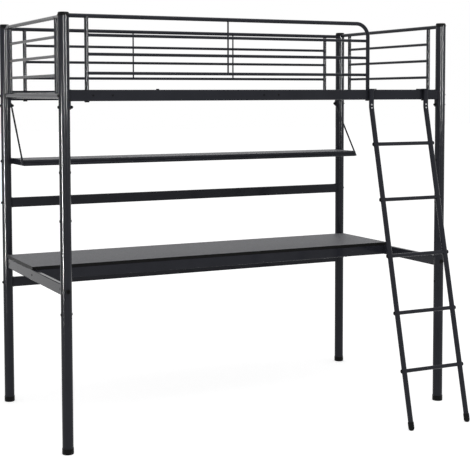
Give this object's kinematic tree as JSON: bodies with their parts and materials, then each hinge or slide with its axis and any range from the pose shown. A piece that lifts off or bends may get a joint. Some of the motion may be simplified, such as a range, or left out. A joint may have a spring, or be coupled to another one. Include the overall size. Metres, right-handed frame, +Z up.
{
  "type": "loft bed with desk",
  "caption": "Tubular steel loft bed with guard rails, a full-length desk and a shelf underneath, and a leaning ladder hooked over the front rail.",
  "frame": {"origin": "on the floor, in the middle of the whole object's box, ladder included", "axes": "+X along the bed towards the ladder's end, +Y towards the bed's back, +Z up"},
  "size_m": [1.985, 1.3414, 1.872],
  "materials": {
    "painted_steel": "charcoal black powder coat, semi-gloss",
    "black_plastic": "black moulded plastic caps, plugs and bolt heads",
    "desk_laminate": "matte grey laminated board",
    "zinc_nut": "zinc plated nuts"
  },
  "bodies": {
    "frame": {"lower_post_front_left": "painted_steel", "lower_post_front_right": "painted_steel", "lower_post_back_left": "painted_steel", "lower_post_back_right": "painted_steel", "upper_post_front_left": "painted_steel", "upper_post_front_right": "painted_steel", "upper_post_back_left": "painted_steel", "upper_post_back_right": "painted_steel", "post_sleeves": "painted_steel", "post_feet": "black_plastic", "post_caps": "black_plastic", "end_top_tube_left": "painted_steel", "end_top_tube_right": "painted_steel", "end_foot_tubes": "painted_steel", "end_uprights": "painted_steel", "end_bars_left": "painted_steel", "end_bars_right": "painted_steel", "front_rail": "painted_steel", "back_rail": "painted_steel", "rail_saddles": "painted_steel", "front_guard_tube": "painted_steel", "front_guard_upright": "painted_steel", "front_guard_bars": "painted_steel", "front_guard_rod": "painted_steel", "back_guard_tube": "painted_steel", "back_guard_uprights": "painted_steel", "back_guard_bars": "painted_steel", "back_guard_rods": "painted_steel", "guard_end_plugs": "black_plastic", "rail_hole_plugs": "black_plastic", "rail_rivets": "black_plastic", "slat_ledges": "painted_steel", "slats": "painted_steel", "upper_back_stretcher": "painted_steel", "lower_back_stretcher": "painted_steel", "stretcher_saddles": "painted_steel", "desk_side_rails": "painted_steel", "desk_front_beam": "painted_steel", "desk_back_beam": "painted_steel", "desk_board": "desk_laminate", "desk_screws": "black_plastic", "desk_beam_bolts": "black_plastic", "desk_rail_bolts": "black_plastic", "desk_nuts": "zinc_nut", "shelf_front_rail": "painted_steel", "shelf_back_rail": "painted_steel", "shelf_bars": "painted_steel", "shelf_board": "desk_laminate", "shelf_hangers": "painted_steel", "bed_rail_bolts": "black_plastic", "bed_rail_nuts": "zinc_nut", "post_cap_nuts": "black_plastic", "stretcher_bolts": "black_plastic", "stretcher_nuts": "zinc_nut", "post_hole_plugs": "black_plastic"},
    "ladder": {"ladder_stringers": "painted_steel", "ladder_rungs": "painted_steel", "ladder_rung_caps": "black_plastic", "ladder_hooks": "painted_steel", "ladder_feet": "black_plastic"}
  },
  "joints": [
    {"name": "ladder_lift", "type": "slide", "parent": "frame", "child": "ladder", "axis": [0, 0, 1], "range_m": [0, 0.04]}
  ]
}
